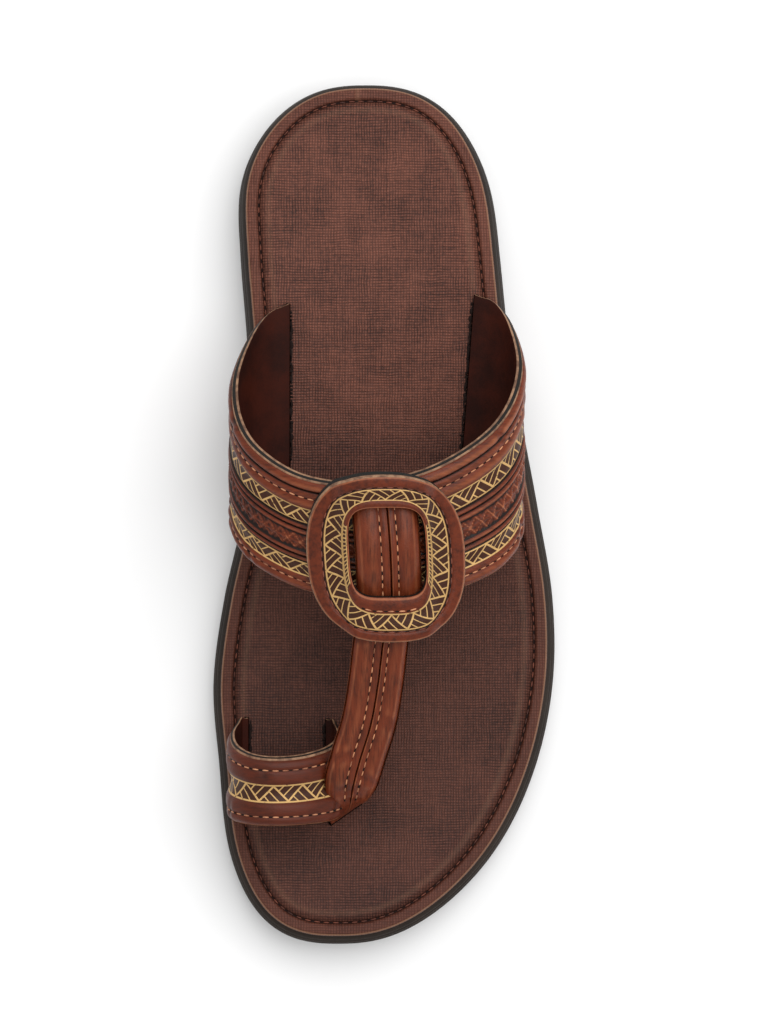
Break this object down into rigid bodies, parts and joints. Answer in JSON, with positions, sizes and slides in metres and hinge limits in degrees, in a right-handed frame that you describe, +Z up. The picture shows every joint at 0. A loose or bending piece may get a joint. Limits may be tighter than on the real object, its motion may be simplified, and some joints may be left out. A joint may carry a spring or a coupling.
{
  "type": "toe ring sandal",
  "caption": "Open sandal for the left foot: a flat moulded sole, a stitched footbed, a wide arched strap with a leather frame, a middle strap and a ring for the big toe.",
  "frame": {"origin": "on the floor, under the middle of the sole's outline", "axes": "toe towards -Y, heel towards +Y, big toe's side at -X, little toe's side at +X, +Z up"},
  "size_m": [0.113, 0.286, 0.085],
  "materials": {
    "sole": "moulded polyurethane, satin",
    "footbed_cover": "embossed cover, dull",
    "strap_leather": "polished, printed strips",
    "frame_leather": "polished, printed strips"
  },
  "bodies": {
    "root": {"outsole": "sole", "footbed": "footbed_cover", "upper": "strap_leather", "strap_frame": "frame_leather"}
  },
  "joints": []
}
